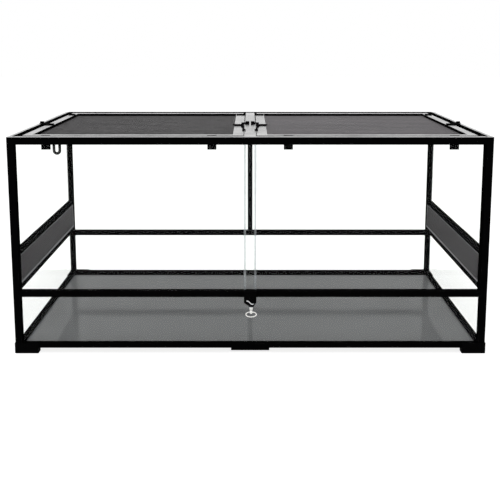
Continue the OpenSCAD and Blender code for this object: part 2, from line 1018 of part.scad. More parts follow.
module lid_clips_right() {
    in0 = lid_x0 + 1;
    in1 = lid_x0 + lid_inner_member - 1;
    out0 = lid_x1 - lid_edge + 1;
    out1 = lid_x1 - 1;
    color("#141415") {
        knob_clip(in0, in1, knob_xs[0]);
        knob_clip(out0, out1 - lid_flange_w, knob_xs[1]);
        union() {
            rear_clip(in0, in1);
            seam_block(lid_x0 + 1);
        }
        rear_clip(out0, out1 - lid_flange_w);
    }
}

module lid_clips_left() {
    on_right()
        lid_clips_right();
}

// Turning knob: shaft in the clip, round head and a raised grip bar
module knob(x) {
    color("#0f0f10")
        translate([x, clip_mid, 0]) {
            translate([0, 0, frame_h + clip_lift + 0.2])
                cylinder(h = knob_z - frame_h - clip_lift + 0.2, d = knob_shaft_d);
            translate([0, 0, knob_z])
                cylinder(h = knob_h / 2, d = knob_d);
            translate([-knob_d / 2 + 0.8, -1.6, knob_z + knob_h / 2 - 0.5])
                cube([knob_d - 1.6, 3.2, knob_h / 2 + 0.5]);
        }
}

module knob_left_outer() { knob(-knob_xs[1]); }
module knob_left_inner() { knob(-knob_xs[0]); }
module knob_right_inner() { knob(knob_xs[0]); }
module knob_right_outer() { knob(knob_xs[1]); }

// U-shaped rod under the left lid's front member
module cable_hook() {
    r = hook_w / 2 - hook_rod / 2;
    leg_z = lid_z - hook_drop + r + hook_rod / 2;
    color("#141415")
        translate([-half_w + hook_inset, hook_y, 0]) {
            for (side = [-1, 1])
                translate([side * r, 0, leg_z])
                    cylinder(h = lid_z - 3 - leg_z, d = hook_rod, $fn = 24);
            translate([0, 0, leg_z])
                rotate([90, 0, 0])
                    rotate_extrude(angle = -180, $fn = 48)
                        translate([r, 0])
                            circle(d = hook_rod, $fn = 24);
            translate([-hook_w / 2 - 1, -6, lid_z - 3])
                cube([hook_w + 2, 12, 3]);
        }
}

base_rail_front();
base_rail_rear();
base_rail_left();
base_rail_right();
foot_front_left();
foot_front_right();
foot_rear_left();
foot_rear_right();
centre_feet();
floor_panel();
post_front_left();
post_front_right();
post_rear_left();
post_rear_right();
top_corners();
lid_ledge_front();
top_rail_front();
top_rail_rear();
top_rail_left();
top_rail_right();
centre_beam();
front_mid_rail();
rear_mid_rail();
rear_mullion();
vent_rails_left();
vent_rails_right();
vent_mesh_left();
vent_mesh_right();
glass_front_lower();
glass_rear_lower();
glass_rear_left();
glass_rear_right();
glass_left_upper();
glass_left_lower();
glass_right_upper();
glass_right_lower();
door_track_lower();
door_track_upper();
door_left();
door_right();
lock_case();
lock_cylinder();
lock_plug();
lock_cam();
key();
lid_frame_left();
lid_frame_right();
lid_mesh_left();
lid_mesh_right();
lid_clips_left();
lid_clips_right();
latch_left_outer();
latch_left_inner();
latch_right_inner();
latch_right_outer();
knob_left_outer();
knob_left_inner();
knob_right_inner();
knob_right_outer();
cable_hook();
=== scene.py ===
import bpy
import bmesh
import json
import math
import numpy as np
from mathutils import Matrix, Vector

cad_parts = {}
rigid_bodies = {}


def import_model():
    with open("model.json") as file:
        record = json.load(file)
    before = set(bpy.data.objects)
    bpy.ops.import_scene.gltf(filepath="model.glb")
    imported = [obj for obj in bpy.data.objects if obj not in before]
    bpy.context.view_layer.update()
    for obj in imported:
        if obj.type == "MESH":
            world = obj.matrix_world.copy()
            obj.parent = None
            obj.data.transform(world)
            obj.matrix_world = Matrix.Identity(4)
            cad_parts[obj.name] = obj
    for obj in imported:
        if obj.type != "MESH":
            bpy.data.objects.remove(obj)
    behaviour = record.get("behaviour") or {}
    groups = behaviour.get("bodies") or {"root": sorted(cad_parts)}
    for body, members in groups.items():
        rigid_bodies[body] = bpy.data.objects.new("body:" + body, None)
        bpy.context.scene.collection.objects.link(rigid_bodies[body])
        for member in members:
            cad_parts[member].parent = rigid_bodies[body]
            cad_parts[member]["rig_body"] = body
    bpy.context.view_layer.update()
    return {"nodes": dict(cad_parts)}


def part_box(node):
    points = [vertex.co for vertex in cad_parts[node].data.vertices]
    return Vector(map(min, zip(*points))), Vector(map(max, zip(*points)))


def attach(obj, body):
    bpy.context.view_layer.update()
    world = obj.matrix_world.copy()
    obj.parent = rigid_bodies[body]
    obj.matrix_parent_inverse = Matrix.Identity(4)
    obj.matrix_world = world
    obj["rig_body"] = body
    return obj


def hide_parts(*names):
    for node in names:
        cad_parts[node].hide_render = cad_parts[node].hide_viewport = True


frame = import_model()
nodes = frame["nodes"]
scene = bpy.context.scene
print("frame loaded:", len(nodes), "nodes")

mm = 0.001  # a millimetre in metres
level = 0.99  # a normal with more than this along an axis counts as along it
easeAngle = math.radians(40)  # edges sharper than this are eased


# sRGB hex to linear: a straight foot below 0.04045, then a power of 2.4
def linear(hexText):
    c = np.array([int(hexText[i:i + 2], 16) for i in (1, 3, 5)]) / 255
    return (*np.where(c <= 0.04045, c / 12.92, ((c + 0.055) / 1.055) ** 2.4).tolist(), 1.0)


# Adds one node: settings are its attributes, links its sockets, each a value or another node's output
def addNode(tree, kind, links=None, **settings):
    node = tree.nodes.new(kind)
    for name, value in settings.items():
        setattr(node, name, value)
    for name, value in (links or {}).items():
        if isinstance(value, bpy.types.NodeSocket):
            tree.links.new(value, node.inputs[name])
        else:
            node.inputs[name].default_value = value
    return node


def newMaterial(name):
    made = bpy.data.materials.new(name)
    made.use_nodes = True
    made.node_tree.nodes.clear()
    return made, made.node_tree


def finishMaterial(tree, shader):
    addNode(tree, "ShaderNodeOutputMaterial", {"Surface": shader})


# Noise with a grain of so many millimetres
def noise(tree, place, grainMm, detail):
    scale = 1000 / grainMm
    made = addNode(tree, "ShaderNodeTexNoise", {"Vector": place, "Scale": scale, "Detail": detail})
    return made.outputs["Fac"]


# Two noises in object space: a broad one that varies the finish and a fine one for the skin's texture
def surfaceNoise(tree, broadMm, fineMm):
    place = addNode(tree, "ShaderNodeTexCoord").outputs["Object"]
    return noise(tree, place, broadMm, detail=3.0), noise(tree, place, fineMm, detail=2.0)


# Stretches the range 0.3 to 0.7, which holds most of a noise, over low to high
def spread(tree, source, low, high):
    return addNode(tree, "ShaderNodeMapRange", {"Value": source, "From Min": 0.3, "From Max": 0.7,
                                                "To Min": low, "To Max": high}).outputs["Result"]


# Blend of two colours by a noise. The mix node's colour sockets are 6 and 7, and its colour output is 2
def tint(tree, source, dark, light):
    blend = addNode(tree, "ShaderNodeMix", {"Factor": source}, data_type="RGBA")
    blend.inputs[6].default_value = linear(dark)
    blend.inputs[7].default_value = linear(light)
    return blend.outputs[2]


def skinBump(tree, source, heightMm, strength):
    return addNode(tree, "ShaderNodeBump", {"Height": source, "Distance": heightMm * mm,
                                            "Strength": strength}).outputs["Normal"]


def mixShaders(tree, factor, first, second):
    return addNode(tree, "ShaderNodeMixShader", {0: factor, 1: first.outputs[0], 2: second.outputs[0]})


# Opaque skin whose colour and roughness drift over broad patches, with a fine texture as bump
def opaqueSkin(name, dark, light, rough, specular, noiseMm, bumpMm, bumpStrength):
    made, tree = newMaterial(name)
    broad, fine = surfaceNoise(tree, *noiseMm)
    shader = addNode(tree, "ShaderNodeBsdfPrincipled", {
        "Base Color": tint(tree, broad, dark, light), "Roughness": spread(tree, broad, *rough),
        "Specular IOR Level": specular, "Normal": skinBump(tree, fine, bumpMm, bumpStrength)})
    finishMaterial(tree, shader.outputs[0])
    return made


# Black powder coat baked on aluminium: near black, with hardly a reflection unless specular is raised,
# and an orange peel about a millimetre across
def powderCoat(name, dark="#040404", light="#0a0a0b", rough=(0.5, 0.6), specular=0.0003, peelMm=1.1):
    return opaqueSkin(name, dark, light, rough, specular, noiseMm=(60, peelMm), bumpMm=0.02,
                      bumpStrength=0.35)


# Black glass-filled nylon from a spark-eroded mould: dull, with a fine grain
def mouldedNylon(name, dark="#060606", light="#0c0c0d", rough=(0.5, 0.62), specular=0.002):
    return opaqueSkin(name, dark, light, rough, specular, noiseMm=(25, 0.7), bumpMm=0.04,
                      bumpStrength=0.5)


# Tempered float glass with an anti-glare skin: clear, faintly green and nearly free of reflections,
# hence the low IOR. Lamps pass it, so that it throws no solid shadow
def floatGlass(name):
    made, tree = newMaterial(name)
    glass = addNode(tree, "ShaderNodeBsdfPrincipled", {
        "Base Color": linear("#fefffe"), "Roughness": 0.0, "IOR": 1.13, "Transmission Weight": 1.0})
    clear = addNode(tree, "ShaderNodeBsdfTransparent", {"Color": linear("#fafbfb")})
    path = addNode(tree, "ShaderNodeLightPath")
    finishMaterial(tree, mixShaders(tree, path.outputs["Is Shadow Ray"], glass, clear).outputs[0])
    return made


# Extruded clear vinyl edging, a little cloudy from its die: mostly see-through, with a grey haze
def clearVinyl(name):
    made, tree = newMaterial(name)
    broad, fine = surfaceNoise(tree, broadMm=40, fineMm=1.5)
    haze = addNode(tree, "ShaderNodeBsdfPrincipled", {
        "Base Color": tint(tree, broad, "#b4b6ba", "#c6c8cb"),
        "Roughness": spread(tree, fine, 0.35, 0.5)})
    clear = addNode(tree, "ShaderNodeBsdfTransparent", {"Color": linear("#f4f6f7")})
    finishMaterial(tree, mixShaders(tree, spread(tree, broad, 0.2, 0.28), clear, haze).outputs[0])
    return made


# Grey sheet of the floor: a flat grey under a smooth top with a faint sharp reflection, which wavers as
# pressed sheet makes it
def glossySheet(name):
    return opaqueSkin(name, dark="#6d6e6f", light="#727374", rough=(0.05, 0.08), specular=0.045,
                      noiseMm=(180, 45), bumpMm=0.02, bumpStrength=0.05)


# Black-coated steel wire: the thin coat leaves a soft sheen along each strand. The band width, if given,
# is the width of soft lighter and darker bands along x: painted sheen and painted shade, for the uneven
# light on the cloth
def coatedWire(name, dark, light, sheenBandMm=None):
    made, tree = newMaterial(name)
    broad, fine = surfaceNoise(tree, broadMm=90, fineMm=2)
    if sheenBandMm:
        sheenBandShape = (0.12, 1.0, 1.0)  # the noise is stretched about eight times along x
        place = addNode(tree, "ShaderNodeTexCoord").outputs["Object"]
        along = addNode(tree, "ShaderNodeMapping", {"Vector": place, "Scale": sheenBandShape}).outputs[0]
        # noise for the painted bands of sheen and shade across the cloth
        broad = noise(tree, along, sheenBandMm, detail=2.0)
    shader = addNode(tree, "ShaderNodeBsdfPrincipled", {
        "Base Color": tint(tree, broad, dark, light), "Roughness": spread(tree, fine, 0.4, 0.55)})
    finishMaterial(tree, shader.outputs[0])
    return made


# Bright chrome plate over turned brass: a mirror with faint polishing haze
def chromePlate(name, dark="#c9cbce", light="#d6d8da"):
    made, tree = newMaterial(name)
    broad, fine = surfaceNoise(tree, broadMm=6, fineMm=0.5)
    shader = addNode(tree, "ShaderNodeBsdfPrincipled", {
        "Base Color": tint(tree, broad, dark, light), "Metallic": 1.0,
        "Roughness": spread(tree, fine, 0.08, 0.16)})
    finishMaterial(tree, shader.outputs[0])
    return made


# Nickel-plated pressed steel: pale and a little yellow, with a fine tumbled scratch
def nickelSteel(name):
    made, tree = newMaterial(name)
    broad, fine = surfaceNoise(tree, broadMm=5, fineMm=0.4)
    shader = addNode(tree, "ShaderNodeBsdfPrincipled", {
        "Base Color": tint(tree, broad, "#e6e5e2", "#f2f1ee"), "Metallic": 1.0,
        "Roughness": spread(tree, fine, 0.2, 0.32),
        "Normal": skinBump(tree, fine, heightMm=0.01, strength=0.3)})
    finishMaterial(tree, shader.outputs[0])
    return made


frameCoat = powderCoat("frame powder coat")
topCoat = powderCoat("glossy powder coat", dark="#070707", light="#0d0d0e", rough=(0.18, 0.26),
                     specular=0.12, peelMm=0.9)
nylon = mouldedNylon("moulded nylon")
clipNylon = mouldedNylon("dull nylon", dark="#0a0a0a", light="#131314", specular=0.0)
trackNylon = mouldedNylon("track nylon", dark="#0c0c0c", light="#161617")
# Dead matt black: rubber trim on the doors' outer edges, and painted shade and reflection in the lids'
# recessed edges, the strips beside them and the cove at the floor's rear edge
rubberAndPaintedShade = mouldedNylon("black rubber and painted shade", dark="#050505", light="#090909", rough=(0.85, 0.95),
                          specular=0.0)
edgeVinyl = clearVinyl("clear vinyl edging")
paneGlass = floatGlass("float glass")
floorSheet = glossySheet("grey floor sheet")
# One wire coat in two copies: the left lid's painted darker as shade, the right lid's painted paler as
# light falling on it
shadedLeftWireCoat = coatedWire("coated wire", dark="#0d0c0d", light="#363335", sheenBandMm=70)
litRightWireCoat = coatedWire("wire coat painted paler for light", dark="#424042", light="#656164", sheenBandMm=70)
ventWireCoat = coatedWire("vent wire coat", dark="#323032", light="#484548")
# Pale grey on the vents' rims is a painted highlight: the sheen that the vent rails' tops catch
ventRimSheen = mouldedNylon("vent rim painted pale as sheen", dark="#8c8c90", light="#9a9a9c", specular=0.05)
chrome = chromePlate("chrome plate")
blackChrome = chromePlate("black chrome plate", dark="#1c1c1d", light="#28282a")
hookSteel = mouldedNylon("dip-coated steel", dark="#101011", light="#1a1a1b", rough=(0.25, 0.35),
                         specular=0.3)
nickel = nickelSteel("nickel steel")
print("materials made")


def dress(piece, material):
    piece.data.materials.clear()
    piece.data.materials.append(material)


# Small bevel on a piece's sharp edges, which catches light as a real edge does
def easeEdges(piece, widthMm):
    bevel = piece.modifiers.new("eased edges", "BEVEL")
    bevel.width = widthMm * mm
    bevel.segments = 2
    bevel.limit_method = "ANGLE"
    bevel.angle_limit = easeAngle


# A CAD node's own shape with its sharp edges eased. Faces that look up take topMaterial, if given, and
# those at the height shelfZ take the shelf's material, a painted shade. Faces that look towards -y are
# set back by faceBackMm
def easedCopy(nodeName, widthMm, material, topMaterial=None, shelfZ=None, shelfShadeMaterial=None,
              faceBackMm=0):
    mergeMm, sameHeightMm, flatDegrees = 0.005, 0.2, 1
    source = nodes[nodeName]
    mesh = source.data.copy()
    mesh.materials.clear()
    for coat in filter(None, (material, topMaterial, shelfShadeMaterial)):
        mesh.materials.append(coat)
    shape = bmesh.new()
    shape.from_mesh(mesh)
    bmesh.ops.remove_doubles(shape, verts=shape.verts, dist=mergeMm * mm)
    bmesh.ops.dissolve_limit(shape, angle_limit=math.radians(flatDegrees), verts=shape.verts,
                             edges=shape.edges)
    for face in shape.faces:
        isTop = face.normal.z > level
        height = face.calc_center_median().z
        isShelf = isTop and shelfZ is not None and abs(height - shelfZ) < sameHeightMm * mm
        face.material_index = 2 if isShelf else int(isTop and topMaterial is not None)
        face.smooth = False
        if faceBackMm and face.normal.y < -level:
            bmesh.ops.translate(shape, verts=face.verts, vec=(0, faceBackMm * mm, 0))
    shape.to_mesh(mesh)
    shape.free()
    piece = bpy.data.objects.new(nodeName + "_eased", mesh)
    scene.collection.objects.link(piece)
    easeEdges(piece, widthMm)
    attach(piece, source["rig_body"])
    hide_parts(nodeName)
    return piece


# Materials of the CAD nodes: the first row with a start of the node's name counts
coats = [(("glass_", "door_left", "door_right"), paneGlass),
         (("foot_", "centre_feet", "cable_hook", "lock_case", "latch_", "knob_", "lid_clips"), nylon),
         (("door_track",), trackNylon), (("lid_frame", "centre_beam", "top_"), topCoat),
         (("vent_mesh", "lid_mesh"), ventWireCoat), (("floor_panel",), floorSheet),
         (("lock_cylinder", "lock_plug"), chrome), (("key", "lock_cam"), nickel), (("",), frameCoat)]
for name, node in nodes.items():
    dress(node, next(coat for starts, coat in coats if name.startswith(starts)))
print("CAD nodes dressed")


# Angles of so many points spaced evenly round a circle
def fullTurn(sides):
    return np.arange(sides) / sides * 2 * np.pi


# Mesh from arrays of points and faces, all faces with the same number of corners
def meshPiece(name, points, faces, material, body, smooth=True):
    mesh = bpy.data.meshes.new(name)
    mesh.vertices.add(len(points))
    mesh.vertices.foreach_set("co", np.asarray(points, float).ravel())
    faces = np.asarray(faces)
    mesh.loops.add(faces.size)
    mesh.loops.foreach_set("vertex_index", faces.ravel())
    mesh.polygons.add(len(faces))
    mesh.polygons.foreach_set("loop_start", np.arange(len(faces)) * faces.shape[1])
    mesh.polygons.foreach_set("use_smooth", np.full(len(faces), smooth))
    mesh.update(calc_edges=True)
    mesh.validate()
    piece = bpy.data.objects.new(name, mesh)
    scene.collection.objects.link(piece)
    dress(piece, material)
    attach(piece, body)
    return piece


# Wires as open tubes with a few flat sides. paths holds the points of each wire; at each of them stands
# a ring of `sides` points at r * (cos t * u + sin t * v), where u and v are unit vectors across the wire
def wirePoints(paths, u, v, r, sides=4):
    turn = (np.arange(sides) + 0.5) / sides * 2 * np.pi
    ring = r * (np.cos(turn)[:, None] * u + np.sin(turn)[:, None] * v)
    points = paths[:, :, None] + ring
    count, stations = paths.shape[:2]
    firstRings = np.arange(count)[:, None] * stations + np.arange(stations - 1)[None]
    base = firstRings.reshape(-1, 1, 1) * sides
    i = np.arange(sides)
    j = (i + 1) % sides
    faces = np.stack([i, j, j + sides, i + sides], axis=1)
    return points.reshape(-1, 3), (base + faces[None]).reshape(-1, 4)


# Pitch and radius in mm of the wires along the first axis, then of those along the second; how far the
# cloth sags, in how many waves along each axis, and the points along each wire
lidMesh = {"pitch": (2.6, 2.6), "radius": (0.34, 0.34),
           "sag": 0.45, "waves": (1.5, 5.5), "stations": (9, 41)}
ventMesh = {"pitch": (5.0, 2.0), "radius": (0.46, 0.38),
            "sag": 0.0, "waves": (1, 1), "stations": (2, 2)}


# Two layers of crossed wires over a rectangle. Axes a and b span the sheet and c is across it; a wire
# along a stands at b = low + (i + 0.5) * width / count, and its layer lies 0.9 radii off the sheet's
# middle. With u and v from 0 to 1 along a and b, the cloth is lowered by
# sag * sin(pi u) * sin(pi v) * (0.6 + 0.4 * sin of its waves)
def wireCloth(name, low, high, a, b, spec, material, body):
    c = 3 - a - b
    unit = np.eye(3)
    mid = (low[c] + high[c]) / 2
    size = [high[k] - low[k] for k in range(3)]
    layerOffset = 0.9  # in radii, so that crossed wires bite a little into each other
    parts, faces, start = [], [], 0
    for layer, (along, across, side) in enumerate(((a, b, layerOffset), (b, a, -layerOffset))):
        pitch, radius = spec["pitch"][layer] * mm, spec["radius"][layer] * mm
        count, stations = int(size[across] / pitch), spec["stations"][layer]
        paths = np.zeros((count, stations, 3))
        paths[:, :, across] = (low[across] + (np.arange(count) + 0.5) * size[across] / count)[:, None]
        paths[:, :, along] = np.linspace(low[along], high[along], stations)[None]
        u = (paths[:, :, a] - low[a]) / size[a]
        v = (paths[:, :, b] - low[b]) / size[b]
        waves = np.sin(2 * np.pi * (spec["waves"][0] * u + spec["waves"][1] * v))
        drop = spec["sag"] * mm * np.sin(np.pi * u) * np.sin(np.pi * v) * (0.6 + 0.4 * waves)
        paths[:, :, c] = mid + side * radius - drop
        points, quads = wirePoints(paths, unit[across], unit[c], radius)
        parts.append(points)
        faces.append(quads + start)
        start += len(points)
    return meshPiece(name, np.concatenate(parts), np.concatenate(faces), material, body)


for side in ("left", "right"):
    low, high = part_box("lid_mesh_" + side)
    # painted shade on the left lid's wire, painted light on the right lid's
    coat = shadedLeftWireCoat if side == "left" else litRightWireCoat
    cloth = wireCloth("lid_wire_" + side, low, high, 0, 1, lidMesh, coat, "lid_" + side)
    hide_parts("lid_mesh_" + side)
print("lid meshes woven")


# Flat ring of a vent's rim: its outline is the opening's box, and its window is inset by the widths of
# its upright sides, its lower bar and its upper bar
def ventRim(name, low, high, widths, material, body):
    sideWide, lowWide, highWide = widths
    x0, x1 = low[0], high[0]
    outer = [(low[1], low[2]), (high[1], low[2]), (high[1], high[2]), (low[1], high[2])]
    inner = [(low[1] + sideWide, low[2] + lowWide), (high[1] - sideWide, low[2] + lowWide),
             (high[1] - sideWide, high[2] - highWide), (low[1] + sideWide, high[2] - highWide)]
    points = [(x, *p) for x in (x0, x1) for ring in (outer, inner) for p in ring]
    faces = []
    for i in range(4):
        j = (i + 1) % 4
        faces += [(i, j, 4 + j, 4 + i), (8 + j, 8 + i, 12 + i, 12 + j), (j, i, 8 + i, 8 + j),
                  (4 + i, 4 + j, 12 + j, 12 + i)]
    return meshPiece(name, points, faces, material, body, smooth=False)


# Sizes in mm: how far the CAD sheet is seated in the rails, the rim's widths at its sides, foot and
# head, its depth, and how far it is set back from the rails' inner faces, which lie inBy inside the
# sheet's middle. The rim's pale grey is a painted highlight, widest at the foot where the sheen is
# brightest
vent = {"seat": 6, "rim": (3.0, 4.5, 2.2), "depth": 2, "set": 0.8, "inBy": 9}
for side, mirror in (("left", -1), ("right", 1)):
    low, high = (np.array(v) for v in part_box("vent_mesh_" + side))
    inner = abs(low[0] + high[0]) / 2 - (vent["inBy"] - vent["set"]) * mm
    xs = sorted((mirror * inner, mirror * (inner + vent["depth"] * mm)))
    a = np.array([xs[0], low[1] + vent["seat"] * mm, low[2] + vent["seat"] * mm])
    b = np.array([xs[1], high[1] - vent["seat"] * mm, high[2] - vent["seat"] * mm])
    widths = (np.array(vent["rim"]) * mm).tolist()
    sideWide, lowWide, highWide = widths
    rim = ventRim("vent_rim_" + side, a, b, widths, ventRimSheen, "frame")
    cloth = wireCloth("vent_wire_" + side, a + (0, sideWide, lowWide), b - (0, sideWide, highWide), 1, 2,
                      ventMesh, ventWireCoat, "frame")
    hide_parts("vent_mesh_" + side)
    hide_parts("vent_mesh_" + side)
print("vent meshes woven")

# Width of the eased edges in mm: crisp on the bars, rounder on the moulded feet
ease = {"bar": 0.6, "top": 0.3, "hardware": 0.4, "foot": 0.9}
feet = ("foot_", "centre_feet")
bars = ("base_rail", "post_", "vent_rails", "front_mid_rail", "rear_mid_rail", "rear_mullion")
for name in nodes:
    if name.startswith(bars):
        easedCopy(name, ease["bar"], frameCoat)
for name in nodes:
    if name.startswith(("top_", "centre_beam")):
        easedCopy(name, ease["top"], frameCoat, topMaterial=topCoat)
for name in nodes:
    if name.startswith(feet + ("latch_", "knob_")):
        easedCopy(name, ease["foot"] if name.startswith(feet) else ease["hardware"], nylon)
lidShelf = 0.56  # height in metres of the recessed edge all round a lid, whose faces get a matte black as painted shade of its trough
for side in ("left", "right"):
    easedCopy("lid_frame_" + side, ease["top"], frameCoat, topMaterial=topCoat, shelfZ=lidShelf,
              shelfShadeMaterial=rubberAndPaintedShade)
print("bars, feet, latches, knobs and lids eased")

# Tube along a path. At each point its ring is
# centre + width / 2 * cos t * across + height / 2 * sin t * up,
# where up is square to the path and to the fixed direction `across`. A closed path joins its last ring
# to its first, and an open one is capped
def tube(path, across, width, height, sides=12, closed=False):
    path, across = np.asarray(path, float), np.asarray(across, float)
    ahead = np.roll(path, -1, 0) - np.roll(path, 1, 0)
    if not closed:
        ahead[0], ahead[-1] = path[1] - path[0], path[-1] - path[-2]
    up = np.cross(ahead, across)
    up /= np.linalg.norm(up, axis=1)[:, None]
    turn = fullTurn(sides)[None, :, None]
    points = path[:, None] + width / 2 * np.cos(turn) * across + height / 2 * np.sin(turn) * up[:, None]
    rings = len(path)
    i = np.arange(rings if closed else rings - 1)[:, None] * sides
    k = np.arange(sides)[None]
    nextRing = (i + sides) % (rings * sides)
    nextSide = (k + 1) % sides
    quads = np.stack([i + k, i + nextSide, nextRing + nextSide, nextRing + k], axis=2)
    faces = [list(f) for f in quads.reshape(-1, 4)]
    if not closed:
        faces += [list(range(sides))[::-1], [(rings - 1) * sides + n for n in range(sides)]]
    return points.reshape(-1, 3), faces


# Flat plate: an outline of x, y points carried up from the height low to the height high. An outline
# that runs clockwise, so that its sum of x * next y - next x * y isn't positive, is reversed first
def plate(outline, low, high):
    outline = np.asarray(outline, float)
    n = len(outline)
    (x, y), (nextX, nextY) = outline.T, np.roll(outline, -1, 0).T
    outline = outline if np.sum(x * nextY - nextX * y) > 0 else outline[::-1]
    points = np.vstack([np.column_stack([outline, np.full(n, z)]) for z in (low, high)])
    faces = [list(range(n))[::-1], [n + k for k in range(n)]]
    return points, faces + [[k, (k + 1) % n, n + (k + 1) % n, n + k] for k in range(n)]


# Box as a plate, from its two opposite corners and its heights
def slab(x0, y0, x1, y1, low, high):
    return plate([(x0, y0), (x1, y0), (x1, y1), (x0, y1)], low, high)


# One mesh from several closed shells
def shellPiece(name, shells, material, body, replaced, smooth=True, easeWidthMm=0):
    points, faces, start = [], [], 0
    for shellPoints, shellFaces in shells:
        points.append(shellPoints)
        faces += [[int(n) + start for n in face] for face in shellFaces]
        start += len(shellPoints)
    mesh = bpy.data.meshes.new(name)
    mesh.from_pydata(np.concatenate(points).tolist(), [], faces)
    mesh.polygons.foreach_set("use_smooth", [smooth] * len(mesh.polygons))
    shape = bmesh.new()
    shape.from_mesh(mesh)
    bmesh.ops.recalc_face_normals(shape, faces=shape.faces)
    shape.to_mesh(mesh)
    shape.free()
    piece = bpy.data.objects.new(name, mesh)
    scene.collection.objects.link(piece)
    dress(piece, material)
    if easeWidthMm:
        easeEdges(piece, easeWidthMm)
    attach(piece, body)
    if replaced:
        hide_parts(replaced)
    return piece


# Matte black strips along the inner part of the side and rear top rails, beside the lids' low edges:
# painted shade of the gaps there.
# Sizes are in mm: bar is the rails' own width, side and rear are the widths of the strips
lidShadeStrip = {"bar": 18, "side": 7.2, "rear": 17.4, "thick": 0.5}
low, high = (np.array(v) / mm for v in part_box("top_corners"))
x, y0, y1, z = high[0] - lidShadeStrip["bar"], low[1] + lidShadeStrip["bar"], high[1] - lidShadeStrip["bar"], high[2]
wide, far, top = lidShadeStrip["side"], y1 + lidShadeStrip["rear"], z + lidShadeStrip["thick"]
strips = np.array([(-x - wide, y0, -x, far, z, top), (x, y0, x + wide, far, z, top),
                   (-x, y1, x, far, z, top)])
# the strips are painted shade
shadeStrips = shellPiece("lid_shade_strip", [slab(*strip) for strip in strips * mm], rubberAndPaintedShade, "frame", None,
                  smooth=False, easeWidthMm=0.1)
print("shade strips laid")

# Hold-down clips of a lid, in mm: outlines are x, y on the right lid, seen from above, and the left lid
# mirrors them. The plate's two heights are its faces', and the pivot is a round head on the inner clip
clips = {
    "plate": (565.1, 568.0),
    "innerMiddle": [(2, -3), (25, -3), (25, -43), (48, -43), (48, -57), (27, -57), (18.6, -128),
                    (16.6, -128), (17.6, -57), (17.6, -16), (2, -16)],
    "outerMiddle": [(589.5, -3), (577, -3), (577, -26), (557.5, -26), (557.5, -40), (588, -40),
                    (589.5, -16)],
    "outerArm": [(589.5, -3), (602.5, -3), (602.5, -16), (589.5, -16)],
    "innerRear": [(17, 217), (43, 217), (43, 231), (21, 231), (21, 283), (14, 283), (14, 217)],
    "outerRear": [(557.5, 217), (577, 217), (577, 231), (557.5, 231)],
    "armLow": 565.6, "pivot": (16.6, -160), "pivotRadius": 4.6, "pivotTop": 568.4, "pivotSides": 24}
for side, mirror in (("left", -1), ("right", 1)):
    shells = []
    for part in ("innerMiddle", "outerMiddle", "outerArm", "innerRear", "outerRear"):
        outline = np.array(clips[part], float) * (mirror, 1) * mm
        bottom = clips["armLow"] if part == "outerArm" else clips["plate"][0]
        shells.append(plate(outline, bottom * mm, clips["plate"][1] * mm))
    turn = fullTurn(clips["pivotSides"])
    circle = np.column_stack([np.cos(turn), np.sin(turn)])
    head = np.array(clips["pivot"]) * (mirror, 1) + clips["pivotRadius"] * circle
    shells.append(plate(head * mm, clips["plate"][0] * mm, clips["pivotTop"] * mm))
    shellPiece("clip_set_" + side, shells, clipNylon, "lid_" + side, "lid_clips_" + side, smooth=False,
               easeWidthMm=0.4)
print("lid clips cut")

# Hook for cables: a flat oval rod bent to a U under a plate. Sizes are in mm: the rod's depth and width,
# the plate's thickness, the rod's distance from the plate's ends and top, and the straight part of the
# legs that ends above the bend
cableHook = {"rod": (5.0, 7.4), "plate": 3.0, "inset": 1, "straight": 4, "bendSteps": 17}
low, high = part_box("cable_hook")
centre = (low + high) / 2
rodDepth, rodWidth = (d * mm for d in cableHook["rod"])
inset = cableHook["inset"] * mm
reach = (high.x - low.x) / 2 - inset - rodWidth / 2
turn = np.linspace(0, np.pi, cableHook["bendSteps"])
bendZ = low.z + reach + rodWidth / 2
bend = np.column_stack([centre.x - reach * np.cos(turn), np.full(len(turn), centre.y),
                        bendZ - reach * np.sin(turn)])
legTop, legFoot = high.z - inset, bendZ + cableHook["straight"] * mm
legs = [[(centre.x + k * reach, centre.y, z) for z in zs]
        for k, zs in ((-1, (legTop, legFoot)), (1, (legFoot, legTop)))]
hookPath = np.concatenate([legs[0], bend, legs[1]])
topPlate = slab(low.x, low.y, high.x, high.y, high.z - cableHook["plate"] * mm, high.z)
hookBody = nodes["cable_hook"]["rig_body"]
hookRod = tube(hookPath, (0, 1, 0), rodDepth, rodWidth)
shellPiece("hook_rod", [hookRod], hookSteel, hookBody, "cable_hook")
shellPiece("hook_plate", [topPlate], nylon, hookBody, "cable_hook", smooth=False, easeWidthMm=0.5)
print("cable hook bent")

# Strips on the doors' upright edges, in mm: widths, and how far they stand proud of the glass
doorStrips = {"edging": 5.5, "trim": 4.0, "proud": 0.15}


# Channel pressed over one upright edge of a door: the right one where towards is 1, the left one where
# it is -1
def doorStrip(name, side, towards, widthMm, material):
    low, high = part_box("door_" + side)
    edge = high.x if towards == 1 else low.x
    x0, x1 = sorted((edge, edge - towards * widthMm * mm))
    proud = doorStrips["proud"] * mm
    strip = slab(x0, low.y - proud, x1, high.y + proud, low.z, high.z)
    piece = shellPiece(name + side, [strip], material, "door_" + side, None, smooth=False,
                       easeWidthMm=0.1)


# Clear edging on the doors' meeting edges, and black trims on the outer ones that meet the posts
for side, inward in (("left", 1), ("right", -1)):
    doorStrip("door_edging_", side, inward, doorStrips["edging"], edgeVinyl)
for side, inward in (("left", 1), ("right", -1)):
    doorStrip("door_trim_", side, -inward, doorStrips["trim"], rubberAndPaintedShade)
print("door edging and trims fitted")

